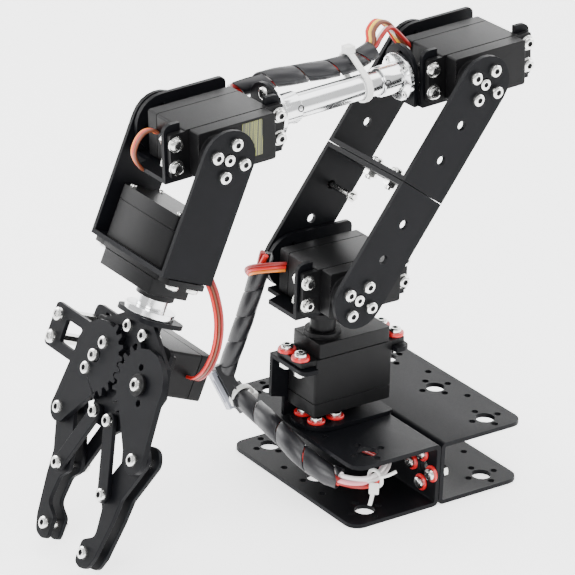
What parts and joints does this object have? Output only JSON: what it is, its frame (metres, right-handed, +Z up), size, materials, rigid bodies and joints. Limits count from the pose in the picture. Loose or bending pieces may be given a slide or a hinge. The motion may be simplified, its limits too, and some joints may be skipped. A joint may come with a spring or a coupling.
{
  "type": "desktop robot arm",
  "caption": "Desktop robot arm of bent black brackets on a flat base, with turning base, shoulder, elbow, wrist and roll joints and a geared two-finger gripper.",
  "frame": {"origin": "on the base rotation axis, at the level the base stands on", "axes": "+Z up; the arm reaches forward along -Y; every pitch axis runs along X, with the servo output sides towards +X"},
  "size_m": [0.093, 0.2345, 0.1953],
  "materials": {
    "black_metal": "satin black powder coat",
    "black_plastic": "finely textured black moulding",
    "bright_steel": "bright plated",
    "polished_aluminium": "polished",
    "red_washered_bolt": "steel screw under a red washer",
    "black_wrap": "smooth black spiral wrap",
    "white_nylon": "natural white nylon"
  },
  "bodies": {
    "base": {"front_base_channel": "black_metal", "rear_base_channel": "black_metal", "base_web_bolt_top": "red_washered_bolt", "base_web_bolt_outer": "red_washered_bolt", "base_web_bolt_bottom": "red_washered_bolt", "base_web_bolt_inner": "red_washered_bolt", "base_servo_bracket": "black_metal", "base_servo_case": "black_plastic", "base_servo_gearbox": "black_plastic", "base_loom": "black_wrap"},
    "turret": {"turret_horn": "polished_aluminium", "shoulder_bracket": "black_metal", "shoulder_servo_case": "black_plastic", "shoulder_servo_gearbox": "black_plastic", "shoulder_pivot": "bright_steel"},
    "upper_arm": {"shoulder_horn": "polished_aluminium", "lower_arm_fork": "black_metal", "upper_arm_fork": "black_metal", "elbow_horn": "polished_aluminium", "arm_joining_bolt_far": "bright_steel", "arm_joining_bolt_near": "bright_steel", "arm_side_bolt": "bright_steel"},
    "forearm": {"elbow_bracket": "black_metal", "elbow_servo_case": "black_plastic", "elbow_servo_gearbox": "black_plastic", "elbow_pivot": "bright_steel", "elbow_end_plate": "black_metal", "elbow_flange": "polished_aluminium", "forearm_tube": "polished_aluminium", "forearm_loom": "black_wrap", "forearm_cable_tie": "white_nylon", "wrist_bracket": "black_metal", "wrist_servo_case": "black_plastic", "wrist_servo_gearbox": "black_plastic", "wrist_pivot": "bright_steel", "wrist_end_plate": "black_metal", "wrist_flange": "polished_aluminium"},
    "wrist": {"wrist_fork": "black_metal", "wrist_horn": "polished_aluminium", "roll_servo_case": "black_plastic", "roll_servo_gearbox": "black_plastic"},
    "hand": {"roll_horn": "polished_aluminium", "hand_bracket": "black_metal", "gripper_front_plate": "black_metal", "gripper_servo_plate": "black_metal", "gripper_servo_case": "black_plastic", "gripper_servo_gearbox": "black_plastic", "gripper_spacer_upper": "bright_steel", "gripper_spacer_lower": "bright_steel", "right_gear_bush": "bright_steel"},
    "left_finger": {"left_gear_arm": "black_metal", "gripper_horn": "polished_aluminium"},
    "right_finger": {"right_gear_arm": "black_metal"},
    "left_link": {"left_link": "black_metal"},
    "right_link": {"right_link": "black_metal"},
    "left_tip": {"left_fingertip": "black_metal"},
    "right_tip": {"right_fingertip": "black_metal"}
  },
  "joints": [
    {"name": "base_yaw", "type": "hinge", "parent": "base", "child": "turret", "pos_m": [0, 0, 0.0708], "axis": [0, 0, 1], "range_deg": [-90, 90]},
    {"name": "shoulder_pitch", "type": "hinge", "parent": "turret", "child": "upper_arm", "pos_m": [0.017, -0.0013, 0.096], "axis": [1, 0, 0], "range_deg": [-25, 36]},
    {"name": "elbow_pitch", "type": "hinge", "parent": "upper_arm", "child": "forearm", "pos_m": [0.017, 0.05892, 0.18055], "axis": [-1, 0, 0], "range_deg": [-14, 75]},
    {"name": "wrist_pitch", "type": "hinge", "parent": "forearm", "child": "wrist", "pos_m": [0.017, -0.0688, 0.17206], "axis": [1, 0, 0], "range_deg": [-80, 20]},
    {"name": "wrist_roll", "type": "hinge", "parent": "wrist", "child": "hand", "pos_m": [0.0102, -0.09499, 0.10559], "axis": [0, -0.3665, -0.9304], "range_deg": [-90, 90]},
    {"name": "left_finger_turn", "type": "hinge", "parent": "hand", "child": "left_finger", "pos_m": [-0.0063, -0.10807, 0.08328], "axis": [0, 0.9304, -0.3665], "range_deg": [-19, 26]},
    {"name": "right_finger_turn", "type": "hinge", "parent": "hand", "child": "right_finger", "pos_m": [0.0267, -0.10807, 0.08328], "axis": [0, 0.9304, -0.3665], "range_deg": [-26, 19]},
    {"name": "left_link_turn", "type": "hinge", "parent": "hand", "child": "left_link", "pos_m": [0.0049, -0.1154, 0.06467], "axis": [0, 0.9304, -0.3665], "range_deg": [-19, 26]},
    {"name": "right_link_turn", "type": "hinge", "parent": "hand", "child": "right_link", "pos_m": [0.0155, -0.1154, 0.06467], "axis": [0, 0.9304, -0.3665], "range_deg": [-26, 19]},
    {"name": "left_tip_turn", "type": "hinge", "parent": "left_finger", "child": "left_tip", "pos_m": [-0.01802, -0.11819, 0.05759], "axis": [0, 0.9304, -0.3665], "range_deg": [-26, 19]},
    {"name": "right_tip_turn", "type": "hinge", "parent": "right_finger", "child": "right_tip", "pos_m": [0.03842, -0.11819, 0.05759], "axis": [0, 0.9304, -0.3665], "range_deg": [-19, 26]}
  ],
  "couplings": [
    {"joint": "right_finger_turn", "follows": "left_finger_turn", "ratio": -1},
    {"joint": "left_link_turn", "follows": "left_finger_turn", "ratio": 1},
    {"joint": "right_link_turn", "follows": "left_finger_turn", "ratio": -1},
    {"joint": "left_tip_turn", "follows": "left_finger_turn", "ratio": -1},
    {"joint": "right_tip_turn", "follows": "left_finger_turn", "ratio": 1}
  ]
}
